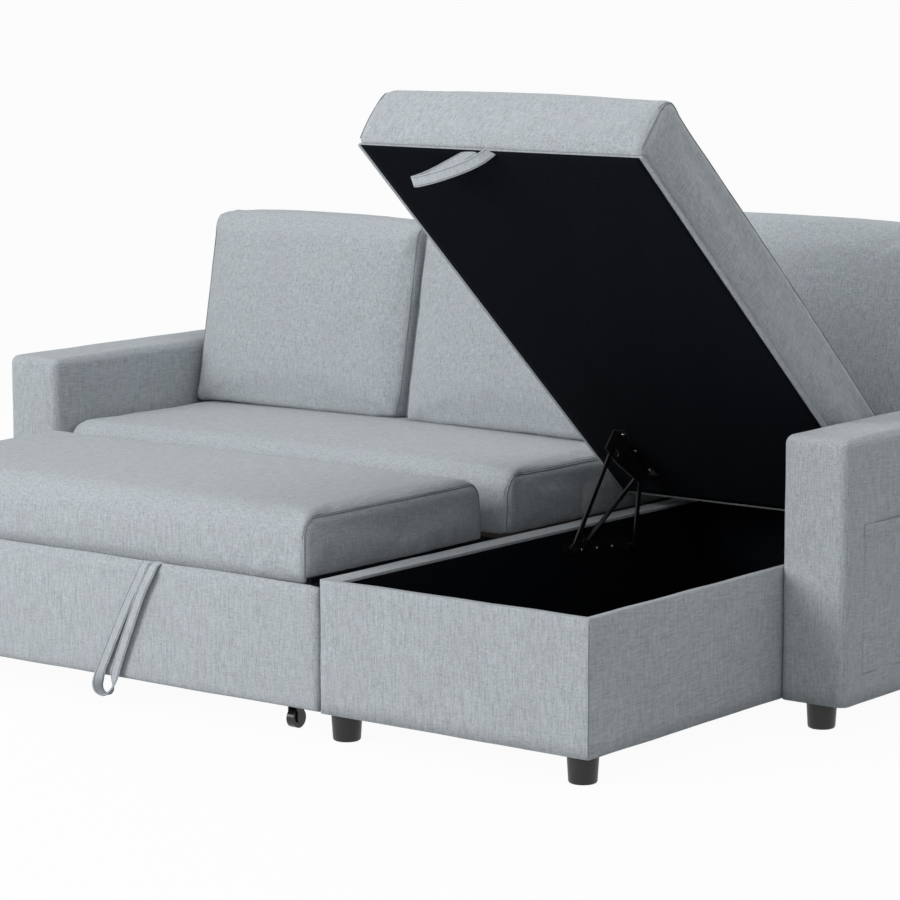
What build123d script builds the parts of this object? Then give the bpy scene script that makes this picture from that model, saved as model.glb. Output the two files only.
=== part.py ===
"""Chaise sofa bed: loveseat with a pull-out lift-up bed and a storage chaise with a sprung lid.

Millimetres, +X to the viewer's right, +Y to the back, +Z up, floor at Z = 0.
The pieces stand as the sofa is shown: bed pulled out and raised, chaise lid open.
"""
import os
from math import atan2, cos, degrees, hypot, radians, sin

from build123d import *

# Overall sizes
seat_width = 1340
chaise_width = 650
arm_width = 150
sofa_depth = 1400
arm_front = 663
arm_top = 590
back_top = 800
back_thickness = 85
foot_height = 55
foot_top_radius = 31
foot_bottom_radius = 27
foot_inset = 40
rear_foot_inset = 50

# Upholstery and timber
arm_padding = 25
back_padding = 15
arm_edge_round = 16
panel_edge_round = 6
timber = 45
soft_gap = 0.3

# Patch pocket on the right arm
pocket_depth = 10
pocket_cloth = 3
pocket_setback = 64
pocket_width = 330
pocket_bottom = 112
pocket_height = 303

# Fixed seat
seat_front = 690
seat_right_gap = 45
seat_bottom = 310
seat_height = 127
cushion_crown = 12
cushion_bulge = 7
cushion_draw = 10
cushion_end_flat = 0.6
cushion_shoulder = 0.8
slat_width = 90
slat_thickness = 12
slat_count = 8
seat_rail_height = 36
seat_rail_inset = 10

# Back cushions
back_cushion_base = 172
back_cushion_peak = 100
back_cushion_height = 440
back_cushion_gap = 4
chaise_cushion_base = 148
chaise_cushion_peak = 92
chaise_cushion_bottom = 480
chaise_cushion_height = 455
chaise_cushion_lift = 38
back_cushion_crown = 22

# Chaise storage box
box_top = 325
front_panel = 22
left_panel = 50
right_panel = 20
rear_panel = 22
floor_drop = 20
floor_thickness = 12
liner = 1.5
liner_drop = 2

# Chaise lid, measured closed from the chaise front and the box top
lid_length = 1243
lid_overhang = 40
lid_side_gap = 5
lid_gap = 1
lid_thickness = 132
lid_board = 12
lid_border = 18
lid_crown = 8
lid_open_angle = 41.2
lid_open_shift = 174
lid_open_height = 1166

# Lid linkage, one set on each side wall
front_eye_back = 239
front_eye_drop = 37
rear_eye_back = 110
rear_eye_drop = 18
front_pivot_reach = 213
rear_pivot_reach = 126
spring_foot_back = 422
spring_foot_drop = 34
link_thickness = 4
link_width = 12
link_eye = 10
link_clearance = 1
pin_radius = 4
pin_clearance = 0.1
plate_thickness = 3
plate_edge = 14
tab_flange = 30
tab_slot_length = 30
tab_slot_width = 15
spring_radius = 5
spring_eye_width = 5

# Pull-out bed
bed_gap = 5
bed_panel_top = 305
bed_panel = 22
bed_clearance = 4
rail_width = 20
rail_height = 30
rail_length = 743
rail_outset = 5
guide_thickness = 4
guide_height = 46
guide_end_gap = 25
guide_start = 700
guide_gap = 0.3
guide_lip = 27

# Raised deck and its lift arms
deck_inset = 50
deck_back = 622
deck_bottom = 313
mattress_height = 122
deck_board = 12
deck_board_inset = 15
deck_tube = 25
lift_angle = 45
lift_length = 134
lift_thickness = 6
lift_width = 22
lift_pin_radius = 6
lift_front = 120
lift_pitch = 310

# Casters under the bed panel
caster_inset = 109
caster_setback = 50
caster_trail = 12
wheel_radius = 20
wheel_width = 18
wheel_bore = 4
caster_cheek = 3
caster_side_gap = 1
caster_crown = 5
caster_plate = 3
caster_plate_side = 48
caster_block_height = 25
caster_block_width = 80

# Webbing straps
strap_thickness = 4
strap_stand_off = 10
strap_width = 18
strap_length = 285
strap_slant = 110
strap_gap = 20
strap_tab_width = 44
strap_place = 446
lid_strap_length = 115
lid_strap_place = 270
lid_strap_slant = 150
lid_strap_drop = 12

# Planes that the pieces share
x_chaise = (seat_width - chaise_width - pocket_depth) / 2
x_right = x_chaise + chaise_width
x_left = x_chaise - seat_width
y_front = (strap_thickness + strap_stand_off - sofa_depth) / 2
y_back = y_front + sofa_depth
y_back_face = y_back - back_thickness
y_arm = y_front + arm_front
y_seat = y_front + seat_front
bed_left = x_left + bed_gap
bed_right = x_chaise - bed_gap
bed_middle = (bed_left + bed_right) / 2

os.makedirs("parts", exist_ok=True)


def slab(x_low, x_high, y_low, y_high, z_low, z_high, mode=Mode.ADD):
    """A box between six planes, added to the part that is being built."""
    with Locations(((x_low + x_high) / 2, (y_low + y_high) / 2, (z_low + z_high) / 2)):
        Box(x_high - x_low, y_high - y_low, z_high - z_low, mode=mode)


def pin_along_x(x_low, x_high, y, z, radius, mode=Mode.ADD):
    """A round pin or bore with its axis along X."""
    with BuildSketch(Plane.YZ.offset(min(x_low, x_high))) as disc:
        with Locations((y, z)):
            Circle(radius)
    extrude(disc.sketch, amount=abs(x_high - x_low), mode=mode)


def save(builder, name):
    """Label a finished piece and write it out."""
    builder.part.label = name
    export_step(builder.part, f"parts/{name}.step")


# Arms: a timber frame inside a padded cover that is open underneath
def make_arm(side, x_low, x_high):
    inner_low, inner_high = x_low + arm_padding, x_high - arm_padding
    front, back = y_arm + arm_padding, y_back - arm_padding
    with BuildPart() as arm_cover:
        slab(x_low, x_high, y_arm, y_back, foot_height, arm_top)
        round_edges = arm_cover.edges().filter_by_position(Axis.Z, foot_height + 1, arm_top + 1)
        fillet(round_edges.filter_by(lambda e: e.center().Y < y_back - 1), arm_edge_round)
        slab(inner_low, inner_high, front, back, foot_height, arm_top - arm_padding, mode=Mode.SUBTRACT)
    save(arm_cover, f"{side}_arm_cover")
    with BuildPart() as arm_frame:
        slab(inner_low, inner_high, front, back, foot_height, arm_top - arm_padding)
        with BuildSketch(Plane.YZ.offset(inner_low)):
            with Locations(((front + back) / 2, (foot_height + arm_top - arm_padding) / 2)):
                Rectangle(back - front - 2 * timber, arm_top - arm_padding - foot_height - 2 * timber)
        extrude(amount=inner_high - inner_low, mode=Mode.SUBTRACT)
    save(arm_frame, f"{side}_arm_frame")


make_arm("left", x_left - arm_width, x_left)
make_arm("right", x_right, x_right + arm_width)

# Patch pocket: a cloth tray, open at the top, sewn to the right arm's outer face
pocket_face = x_right + arm_width
pocket_front = y_arm + pocket_setback
with BuildPart() as arm_pocket:
    slab(pocket_face, pocket_face + pocket_depth, pocket_front, pocket_front + pocket_width,
         pocket_bottom, pocket_bottom + pocket_height)
    slab(pocket_face, pocket_face + pocket_depth - pocket_cloth,
         pocket_front + pocket_cloth, pocket_front + pocket_width - pocket_cloth,
         pocket_bottom + pocket_cloth, pocket_bottom + pocket_height, mode=Mode.SUBTRACT)
save(arm_pocket, "arm_pocket")

# Back: a timber frame with posts, inside a padded cover that is open underneath
with BuildPart() as back_cover:
    slab(x_left, x_right, y_back_face, y_back, foot_height, back_top)
    fillet(back_cover.faces().sort_by(Axis.Z)[-1].edges().filter_by(Axis.X), arm_edge_round)
    slab(x_left + back_padding, x_right - back_padding, y_back_face + back_padding, y_back - back_padding,
         foot_height, back_top - back_padding, mode=Mode.SUBTRACT)
save(back_cover, "back_cover")

frame_low, frame_high = x_left + back_padding, x_right - back_padding
back_bays = 4
bay = (frame_high - frame_low - timber * (back_bays + 1)) / back_bays
with BuildPart() as back_frame:
    slab(frame_low, frame_high, y_back_face + back_padding, y_back - back_padding,
         foot_height, back_top - back_padding)
    with BuildSketch(Plane.XZ.offset(-y_back + back_padding)):
        with Locations(((frame_low + frame_high) / 2, (foot_height + back_top - back_padding) / 2)):
            with GridLocations(bay + timber, 1, back_bays, 1):
                Rectangle(bay, back_top - back_padding - foot_height - 2 * timber)
    extrude(amount=back_thickness - 2 * back_padding, mode=Mode.SUBTRACT)
save(back_frame, "back_frame")


def boxed_cushion(frame, width, depth, height, crown, bulge, draw):
    """Loft a boxed cushion on a plane, from its bottom centre: ends drawn in, middle full, top crowned."""
    sections = []
    for share, end in ((-1, 1), (-cushion_shoulder, 0), (cushion_shoulder, 0), (1, 1)):
        place = Plane(frame.from_local_coords((share * width / 2, 0, 0)), frame.y_dir, frame.x_dir)
        reach = depth / 2 - bulge - end * draw
        rise = height - end * draw / 2
        swell = crown * (1 - cushion_end_flat * end)
        with BuildSketch(place) as section:
            with BuildLine():
                Line((-reach, 0), (reach, 0))
                ThreePointArc((reach, 0), (reach + bulge, rise / 2), (reach, rise))
                ThreePointArc((reach, rise), (0, rise + swell), (-reach, rise))
                ThreePointArc((-reach, rise), (-reach - bulge, rise / 2), (-reach, 0))
            make_face()
        sections.append(section.sketch.face())
    loft(sections, ruled=True)


# Fixed seat: two rails, slats and a boxed cushion
seat_low, seat_high = x_left + soft_gap, x_chaise - seat_right_gap
seat_depth = y_back_face - soft_gap - y_seat
with BuildPart() as seat_cushion:
    seat_base = Plane(((seat_low + seat_high) / 2, y_seat + seat_depth / 2, seat_bottom))
    boxed_cushion(seat_base, seat_high - seat_low, seat_depth, seat_height,
                  cushion_crown, cushion_bulge, cushion_draw)
save(seat_cushion, "seat_cushion")

rail_top = seat_bottom - slat_thickness
slat_front = y_seat + seat_rail_inset
with BuildPart() as seat_front_rail:
    slab(x_left, x_chaise, slat_front, slat_front + timber, rail_top - seat_rail_height, rail_top)
save(seat_front_rail, "seat_front_rail")

with BuildPart() as seat_rear_rail:
    slab(x_left, x_chaise, y_back_face - timber, y_back_face, rail_top - seat_rail_height, rail_top)
save(seat_rear_rail, "seat_rear_rail")

slat_pitch = (seat_high - seat_low - slat_width) / (slat_count - 1)
with BuildPart() as seat_slats:
    with Locations(((seat_low + seat_high) / 2, (slat_front + y_back_face) / 2, rail_top + slat_thickness / 2)):
        with GridLocations(slat_pitch, 1, slat_count, 1):
            Box(slat_width, y_back_face - slat_front, slat_thickness)
save(seat_slats, "seat_slats")


# Back cushions: full at the foot, thinner at the top, resting on the back
def make_back_cushion(name, x_low, x_high, bottom, height, base, peak, lift=0):
    rear = y_back_face - soft_gap
    middle = (x_low + x_high) / 2
    half = (x_high - x_low) / 2
    with BuildPart() as cushion:
        for share, end in ((-1, 1), (-cushion_shoulder, 0), (cushion_shoulder, 0), (1, 1)):
            shrink = end * cushion_draw
            low, high = bottom, bottom + height - shrink
            foot, head = rear - base + shrink, rear - peak + shrink
            swell = back_cushion_crown * (1 - cushion_end_flat * end)
            with BuildSketch(Plane.YZ.offset(middle + share * half)):
                with BuildLine():
                    Line((rear, high), (rear, low))
                    Line((rear, low), (foot, low + lift))
                    ThreePointArc((foot, low + lift), ((foot + head) / 2 - swell, (low + high) / 2), (head, high))
                    ThreePointArc((head, high), ((head + rear) / 2, high + swell / 2), (rear, high))
                make_face()
        loft(ruled=True)
    save(cushion, name)


cushion_width = (seat_width - seat_right_gap - 2 * back_cushion_gap) / 2
cushion_bottom = seat_bottom + seat_height + cushion_crown + soft_gap
first_cushion = x_left + back_cushion_gap
make_back_cushion("left_back_cushion", first_cushion, first_cushion + cushion_width,
                  cushion_bottom, back_cushion_height, back_cushion_base, back_cushion_peak)
second_cushion = first_cushion + cushion_width + back_cushion_gap
make_back_cushion("middle_back_cushion", second_cushion, second_cushion + cushion_width,
                  cushion_bottom, back_cushion_height, back_cushion_base, back_cushion_peak)
third_cushion = second_cushion + cushion_width + back_cushion_gap
make_back_cushion("chaise_back_cushion", third_cushion, x_right - back_cushion_gap, chaise_cushion_bottom,
                  chaise_cushion_height, chaise_cushion_base, chaise_cushion_peak, chaise_cushion_lift)

# Chaise storage box: upholstered panels, a floor and a black lining
y_box = y_front + front_panel
y_box_back = y_back_face - rear_panel
box_left, box_right = x_chaise + left_panel, x_right - right_panel
floor_low = foot_height + floor_drop
floor_high = floor_low + floor_thickness
with BuildPart() as chaise_front_panel:
    slab(x_chaise, x_right, y_front, y_box, foot_height, box_top)
    face_edges = chaise_front_panel.faces().sort_by(Axis.Y)[0].edges()
    fillet(face_edges.filter_by(lambda e: e.center().Z > foot_height + 1), panel_edge_round)
save(chaise_front_panel, "chaise_front_panel")

with BuildPart() as chaise_left_panel:
    slab(x_chaise, box_left, y_box, y_back_face, foot_height, box_top)
    fillet(chaise_left_panel.faces().sort_by(Axis.Z)[-1].edges().filter_by(Axis.Y), panel_edge_round)
save(chaise_left_panel, "chaise_left_panel")

with BuildPart() as chaise_right_panel:
    slab(box_right, x_right, y_box, y_back_face, foot_height, box_top)
    fillet(chaise_right_panel.faces().sort_by(Axis.Z)[-1].edges().filter_by(Axis.Y), panel_edge_round)
save(chaise_right_panel, "chaise_right_panel")

with BuildPart() as chaise_rear_panel:
    slab(box_left, box_right, y_box_back, y_back_face, foot_height, box_top)
save(chaise_rear_panel, "chaise_rear_panel")

with BuildPart() as chaise_floor:
    slab(box_left, box_right, y_box, y_box_back, floor_low, floor_high)
save(chaise_floor, "chaise_floor")

with BuildPart() as storage_liner:
    liner_top = box_top - panel_edge_round - liner_drop
    slab(box_left, box_right, y_box, y_box_back, floor_high, liner_top)
    slab(box_left + liner, box_right - liner, y_box + liner, y_box_back - liner,
         floor_high + liner, liner_top, mode=Mode.SUBTRACT)
save(storage_liner, "storage_liner")

# Feet: tapered plastic, under the arms, the chaise corners and the chaise's back corner
arm_middle = arm_width / 2
foot_places = [
    (x_chaise + foot_inset, y_front + foot_inset),
    (x_right - foot_inset, y_front + foot_inset),
    (x_chaise + foot_inset, y_back_face - rear_foot_inset),
    (x_right + arm_middle, y_arm + foot_inset),
    (x_left - arm_middle, y_arm + foot_inset),
    (x_right + arm_middle, y_back - rear_foot_inset),
    (x_left - arm_middle, y_back - rear_foot_inset),
]
with BuildPart() as feet:
    with Locations(*[(x, y, foot_height / 2) for x, y in foot_places]):
        Cone(foot_bottom_radius, foot_top_radius, foot_height)
save(feet, "feet")

# Lid linkage geometry in the plane of the side walls
lid_turn = radians(lid_open_angle)
lid_rest = box_top + lid_gap
lid_open = (y_front + lid_open_shift, lid_open_height)


def lid_point(run, drop):
    """Where a point of the lid lies with the lid open: run back from its front, drop below it."""
    return (lid_open[0] + run * cos(lid_turn) - drop * sin(lid_turn),
            lid_open[1] - run * sin(lid_turn) - drop * cos(lid_turn))


def wall_pivot(run, drop, reach):
    """A wall pivot that is equally far from the lid's eye when open and when closed."""
    open_y, open_z = lid_point(run, drop)
    shut_y, shut_z = y_front + run, lid_rest - drop
    chord_y, chord_z = shut_y - open_y, shut_z - open_z
    chord = hypot(chord_y, chord_z)
    return ((open_y + shut_y) / 2 + reach * chord_z / chord,
            (open_z + shut_z) / 2 - reach * chord_y / chord)


front_eye_run = lid_length - front_eye_back
rear_eye_run = lid_length - rear_eye_back
front_eye = lid_point(front_eye_run, front_eye_drop)
rear_eye = lid_point(rear_eye_run, rear_eye_drop)
front_pivot = wall_pivot(front_eye_run, front_eye_drop, front_pivot_reach)
rear_pivot = wall_pivot(rear_eye_run, rear_eye_drop, rear_pivot_reach)
spring_foot = (y_front + lid_length - spring_foot_back, box_top - spring_foot_drop - plate_thickness)
spring_plane = plate_thickness + link_clearance + spring_radius
link_plane = spring_plane + spring_radius + link_clearance
tab_plane = link_plane + link_thickness + link_clearance
pin_start = spring_plane - spring_eye_width / 2 - link_clearance


def link_bar(x_low, x_high, start, end, width, eye):
    """A flat bar with round eyes, between two points of a side plane."""
    length = hypot(end[0] - start[0], end[1] - start[1])
    turn = degrees(atan2(end[1] - start[1], end[0] - start[0]))
    with BuildSketch(Plane.YZ.offset(min(x_low, x_high))) as bar:
        with Locations(((start[0] + end[0]) / 2, (start[1] + end[1]) / 2)):
            SlotCenterToCenter(length, width, rotation=turn)
        if 2 * eye > width:
            with Locations(start, end):
                Circle(eye)
    extrude(bar.sketch, amount=abs(x_high - x_low))


lid_frame = Plane((0, lid_open[0], lid_open[1]), (1, 0, 0), (0, sin(lid_turn), cos(lid_turn)))


def make_linkage(side, wall, inward):
    """Plates, arms and spring of one side. Inward is the X direction from the wall into the box."""
    def at(depth):
        return wall + inward * depth

    with BuildPart() as lower_plate:
        link_bar(at(0), at(plate_thickness), front_pivot, rear_pivot, 2 * plate_edge, plate_edge)
        link_bar(at(0), at(plate_thickness), front_pivot, spring_foot, 2 * plate_edge, plate_edge)
        for pivot in (front_pivot, rear_pivot):
            pin_along_x(at(0), at(link_plane + link_thickness), *pivot, pin_radius)
        pin_along_x(at(0), at(spring_plane + spring_radius), *spring_foot, pin_radius)
    save(lower_plate, f"{side}_lower_plate")

    with BuildPart() as front_arm:
        link_bar(at(link_plane), at(link_plane + link_thickness), front_pivot, front_eye, link_width, link_eye)
        pin_along_x(at(link_plane), at(link_plane + link_thickness), *front_pivot,
                    pin_radius + pin_clearance, mode=Mode.SUBTRACT)
        pin_along_x(at(link_plane), at(tab_plane + plate_thickness + link_clearance), *front_eye, pin_radius)
    save(front_arm, f"{side}_front_arm")

    with BuildPart() as rear_arm:
        link_bar(at(link_plane), at(link_plane + link_thickness), rear_pivot, rear_eye, link_width, link_eye)
        for pivot in (rear_pivot, rear_eye):
            pin_along_x(at(link_plane), at(link_plane + link_thickness), *pivot,
                        pin_radius + pin_clearance, mode=Mode.SUBTRACT)
    save(rear_arm, f"{side}_rear_arm")

    with BuildPart() as upper_plate:
        tab_front = front_eye_run - plate_edge - tab_slot_length / 2
        tab_back = rear_eye_run + plate_edge
        tab_side = Plane(lid_frame.from_local_coords((at(tab_plane), 0, 0)), lid_frame.y_dir, (inward, 0, 0))
        with BuildSketch(tab_side):
            with BuildLine():
                Polyline(
                    (tab_front, 0),
                    (tab_front, -inward * (front_eye_drop + plate_edge)),
                    (front_eye_run + tab_slot_length, -inward * (front_eye_drop + plate_edge)),
                    (tab_back, -inward * (rear_eye_drop + plate_edge)),
                    (tab_back, 0),
                    close=True,
                )
            make_face()
            with Locations((front_eye_run + tab_slot_length / 2 - tab_slot_width / 2, -inward * front_eye_drop)):
                SlotOverall(tab_slot_length, tab_slot_width, mode=Mode.SUBTRACT)
        extrude(amount=plate_thickness)
        with BuildSketch(lid_frame):
            with Locations((at(tab_plane + tab_flange / 2), (tab_front + tab_back) / 2)):
                Rectangle(tab_flange, tab_back - tab_front)
        extrude(amount=-plate_thickness)
        pin_along_x(at(pin_start), at(tab_plane + plate_thickness), *rear_eye, pin_radius)
    save(upper_plate, f"{side}_upper_plate")

    with BuildPart() as spring:
        low, high = spring_foot, rear_eye
        reach = hypot(high[0] - low[0], high[1] - low[1])
        way = ((high[0] - low[0]) / reach, (high[1] - low[1]) / reach)
        axis = Plane((at(spring_plane), *low), (1, 0, 0), (0, *way))
        for pivot in (low, high):
            pin_along_x(at(spring_plane - spring_eye_width / 2), at(spring_plane + spring_eye_width / 2), *pivot,
                        link_eye)
        rod_start = pin_radius + link_clearance
        with BuildSketch(axis.offset(rod_start)) as rod:
            Circle(spring_radius)
        extrude(rod.sketch, amount=reach - 2 * rod_start)
        for pivot in (low, high):
            pin_along_x(at(spring_plane - spring_radius), at(spring_plane + spring_radius), *pivot,
                        pin_radius + pin_clearance, mode=Mode.SUBTRACT)
    save(spring, f"{side}_lid_spring")


make_linkage("left", box_left + liner, 1)
make_linkage("right", box_right - liner, -1)

# Chaise lid: board, black lining under it and a boxed cushion that wraps both
lid_low, lid_high = x_chaise - lid_overhang, x_right - lid_side_gap
lid_middle = (lid_low + lid_high) / 2
lid_width = lid_high - lid_low
recess = liner + lid_board
lid_base = Plane(lid_frame.from_local_coords((lid_middle, lid_length / 2, 0)), lid_frame.x_dir, lid_frame.z_dir)
with BuildPart() as lid_cushion:
    boxed_cushion(lid_base, lid_width, lid_length, lid_thickness, lid_crown, cushion_bulge, cushion_draw)
    with BuildSketch(lid_base):
        Rectangle(lid_width - 2 * lid_border, lid_length - 2 * lid_border - 2 * cushion_draw)
    extrude(amount=recess, mode=Mode.SUBTRACT)
save(lid_cushion, "lid_cushion")

with BuildPart() as lid_lining:
    with BuildSketch(lid_base):
        Rectangle(lid_width - 2 * lid_border, lid_length - 2 * lid_border - 2 * cushion_draw)
    extrude(amount=liner)
save(lid_lining, "lid_lining")

with BuildPart() as lid_board_panel:
    with BuildSketch(lid_base.offset(liner)):
        Rectangle(lid_width - 2 * lid_border, lid_length - 2 * lid_border - 2 * cushion_draw)
    extrude(amount=lid_board)
save(lid_board_panel, "lid_board")


def strap_loop(place, length, slant):
    """Outline of a webbing loop that hangs along the plane's -y and aside along -x, with its eye cut out."""
    half = strap_width + strap_gap / 2
    turn = -length + half
    eye_top = -2 * strap_width
    eye_shift = slant * eye_top / length
    with BuildSketch(place) as loop:
        with BuildLine():
            Line((-strap_tab_width / 2, 0), (-slant - half, turn))
            ThreePointArc((-slant - half, turn), (-slant, -length), (-slant + half, turn))
            Line((-slant + half, turn), (strap_tab_width / 2, 0))
            Line((strap_tab_width / 2, 0), (-strap_tab_width / 2, 0))
        make_face()
        with BuildLine():
            Line((eye_shift, eye_top), (-slant - strap_gap / 2, turn))
            ThreePointArc((-slant - strap_gap / 2, turn), (-slant, turn - strap_gap / 2), (-slant + strap_gap / 2, turn))
            Line((-slant + strap_gap / 2, turn), (eye_shift, eye_top))
        make_face(mode=Mode.SUBTRACT)
    return loop.sketch


# Lid strap: a webbing loop sewn to the lining near the lid's front edge
strap_root = Plane(lid_frame.from_local_coords((x_chaise + lid_strap_place, lid_border + cushion_draw, 0)),
                   lid_frame.x_dir, -lid_frame.z_dir)
with BuildPart() as lid_strap:
    extrude(strap_loop(strap_root, lid_strap_length, lid_strap_slant), amount=strap_thickness)
save(lid_strap, "lid_strap")

# Pull-out bed: front panel, two side rails, a rear rail and guides on the sofa
with BuildPart() as bed_front_panel:
    slab(bed_left, bed_right, y_front, y_front + bed_panel, foot_height, bed_panel_top)
    bed_face_edges = bed_front_panel.faces().sort_by(Axis.Y)[0].edges()
    fillet(bed_face_edges.filter_by(lambda e: e.center().Z > foot_height + 1), panel_edge_round)
save(bed_front_panel, "bed_front_panel")

deck_top = deck_bottom + mattress_height
deck_axis = deck_bottom - deck_board - deck_tube / 2
lift_rise = lift_length * sin(radians(lift_angle))
lift_run = lift_length * cos(radians(lift_angle))
rail_axis = deck_axis - lift_rise
rail_low, rail_high = rail_axis - rail_height / 2, rail_axis + rail_height / 2
y_rail = y_front + bed_panel
lift_pivots = [(y_front + lift_front + step * lift_pitch, rail_axis) for step in (0, 1)]
deck_pivots = [(y + lift_run, deck_axis) for y, _ in lift_pivots]
bed_half = (bed_right - bed_left) / 2
rail_outer = bed_half - rail_outset
rail_inner = rail_outer - rail_width
deck_half = bed_half - deck_inset + bed_gap
arm_mid = (rail_inner + deck_half) / 2


def make_rail(side, sign):
    outer, inner = bed_middle + sign * rail_outer, bed_middle + sign * rail_inner
    with BuildPart() as side_rail:
        slab(min(outer, inner), max(outer, inner), y_rail, y_rail + rail_length, rail_low, rail_high)
        for y, z in lift_pivots:
            pin_along_x(inner, bed_middle + sign * (arm_mid - lift_thickness / 2 - link_clearance), y, z,
                        lift_pin_radius)
    save(side_rail, f"{side}_bed_rail")


make_rail("left", -1)
make_rail("right", 1)

with BuildPart() as bed_rear_rail:
    slab(bed_middle - rail_inner, bed_middle + rail_inner, y_rail + rail_length - rail_width, y_rail + rail_length,
         rail_low, rail_high)
save(bed_rear_rail, "bed_rear_rail")


def make_guide(side, wall, inward):
    lip_low = rail_low - guide_gap - guide_thickness
    plate = sorted((wall, wall + inward * guide_thickness))
    lip = sorted((wall, wall + inward * (guide_thickness + guide_lip)))
    with BuildPart() as guide:
        slab(*plate, y_front + guide_start, y_back_face - guide_end_gap, lip_low, lip_low + guide_height)
        slab(*lip, y_front + guide_start, y_back_face - guide_end_gap, lip_low, lip_low + guide_thickness)
    save(guide, f"{side}_bed_guide")


make_guide("left", x_left, 1)
make_guide("right", x_chaise, -1)

# Bed pull strap: webbing folded over the panel's top edge, its loop hanging in front
strap_x = x_chaise - strap_place
strap_fold = Plane((strap_x, y_front - strap_stand_off, bed_panel_top + strap_thickness), (1, 0, 0), (0, -1, 0))
with BuildPart() as bed_strap:
    extrude(strap_loop(strap_fold, strap_length, strap_slant), amount=strap_thickness)
    slab(strap_x - strap_tab_width / 2, strap_x + strap_tab_width / 2,
         y_front - strap_stand_off, y_front + bed_panel, bed_panel_top, bed_panel_top + strap_thickness)
save(bed_strap, "bed_strap")

# Raised deck: a tube frame, a board and the mattress cushion
deck_left, deck_right = bed_middle - deck_half, bed_middle + deck_half
deck_front = y_front + bed_panel + bed_clearance
deck_rear = y_front + deck_back
frame_in = deck_front + deck_board_inset
frame_out = deck_rear - deck_board_inset
tube_low, tube_high = deck_axis - deck_tube / 2, deck_axis + deck_tube / 2
with BuildPart() as deck_frame:
    for sign in (-1, 1):
        edge = bed_middle + sign * deck_half
        inner = edge - sign * deck_tube
        slab(min(edge, inner), max(edge, inner), frame_in, frame_out, tube_low, tube_high)
        for y, z in deck_pivots:
            pin_along_x(edge, bed_middle + sign * (arm_mid + lift_thickness / 2 + link_clearance), y, z,
                        lift_pin_radius)
save(deck_frame, "deck_side_tubes")

with BuildPart() as deck_cross_tubes:
    for place in (frame_in, (frame_in + frame_out - deck_tube) / 2, frame_out - deck_tube):
        slab(deck_left + deck_tube, deck_right - deck_tube, place, place + deck_tube, tube_low, tube_high)
save(deck_cross_tubes, "deck_cross_tubes")

with BuildPart() as deck_board_panel:
    slab(deck_left, deck_right, frame_in, frame_out, tube_high, deck_bottom)
save(deck_board_panel, "deck_board")

with BuildPart() as bed_mattress:
    mattress_base = Plane(((deck_left + deck_right) / 2, (deck_front + deck_rear) / 2, deck_bottom))
    boxed_cushion(mattress_base, deck_right - deck_left, deck_rear - deck_front, mattress_height,
                  cushion_crown, cushion_bulge, cushion_draw)
save(bed_mattress, "bed_mattress")


def make_lift_arm(side, sign, row, pivot, eye):
    middle = bed_middle + sign * arm_mid
    low, high = middle - lift_thickness / 2, middle + lift_thickness / 2
    with BuildPart() as lift_arm:
        link_bar(low, high, pivot, eye, lift_width, lift_width / 2)
        for bore in (pivot, eye):
            pin_along_x(low, high, *bore, lift_pin_radius + pin_clearance, mode=Mode.SUBTRACT)
    save(lift_arm, f"{side}_{row}_lift_arm")


for row, pivot, eye in zip(("front", "rear"), lift_pivots, deck_pivots):
    make_lift_arm("left", -1, row, pivot, eye)
    make_lift_arm("right", 1, row, pivot, eye)


# Casters: a block behind the bed panel, a plate, a swivel fork and a wheel
def make_caster(side, sign):
    x = bed_middle + sign * (bed_half + bed_gap - caster_inset)
    y = y_front + caster_setback
    axle_y = y + caster_trail
    plate_low = foot_height - caster_plate
    cheek_in = wheel_width / 2 + caster_side_gap
    cheek_out = cheek_in + caster_cheek
    crown_low = plate_low - caster_crown
    with BuildPart() as block:
        slab(x - caster_block_width / 2, x + caster_block_width / 2, y_rail, y_rail + caster_block_width,
             foot_height, foot_height + caster_block_height)
    save(block, f"{side}_caster_block")

    with BuildPart() as plate:
        slab(x - caster_plate_side / 2, x + caster_plate_side / 2, y - caster_plate_side / 2,
             y + caster_plate_side / 2, plate_low, foot_height)
    save(plate, f"{side}_caster_plate")

    with BuildPart() as fork:
        with BuildSketch(Plane.XY.offset(crown_low)):
            with Locations((x, (y + axle_y) / 2)):
                Rectangle(2 * cheek_out, caster_trail + 2 * cheek_in)
        extrude(amount=caster_crown - guide_gap)
        for cheek in (x - cheek_out, x + cheek_in):
            with BuildSketch(Plane.YZ.offset(cheek)):
                with Locations((axle_y, (wheel_radius + crown_low) / 2)):
                    Rectangle(2 * cheek_in, crown_low - wheel_radius)
                with Locations((axle_y, wheel_radius)):
                    Circle(cheek_in)
            extrude(amount=caster_cheek)
        pin_along_x(x - cheek_out, x + cheek_out, axle_y, wheel_radius, wheel_bore)
    save(fork, f"{side}_caster_fork")

    with BuildPart() as wheel:
        pin_along_x(x - wheel_width / 2, x + wheel_width / 2, axle_y, wheel_radius, wheel_radius)
        pin_along_x(x - wheel_width / 2, x + wheel_width / 2, axle_y, wheel_radius,
                    wheel_bore + pin_clearance, mode=Mode.SUBTRACT)
    save(wheel, f"{side}_caster_wheel")


make_caster("left", -1)
make_caster("right", 1)
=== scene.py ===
"""Chaise sofa bed: covers, cushions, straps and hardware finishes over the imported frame. Metres, +Z up."""

import math

import bmesh
import bpy
from mathutils import Matrix, Vector, noise
from mathutils.bvhtree import BVHTree
from mathutils.kdtree import KDTree


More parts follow.
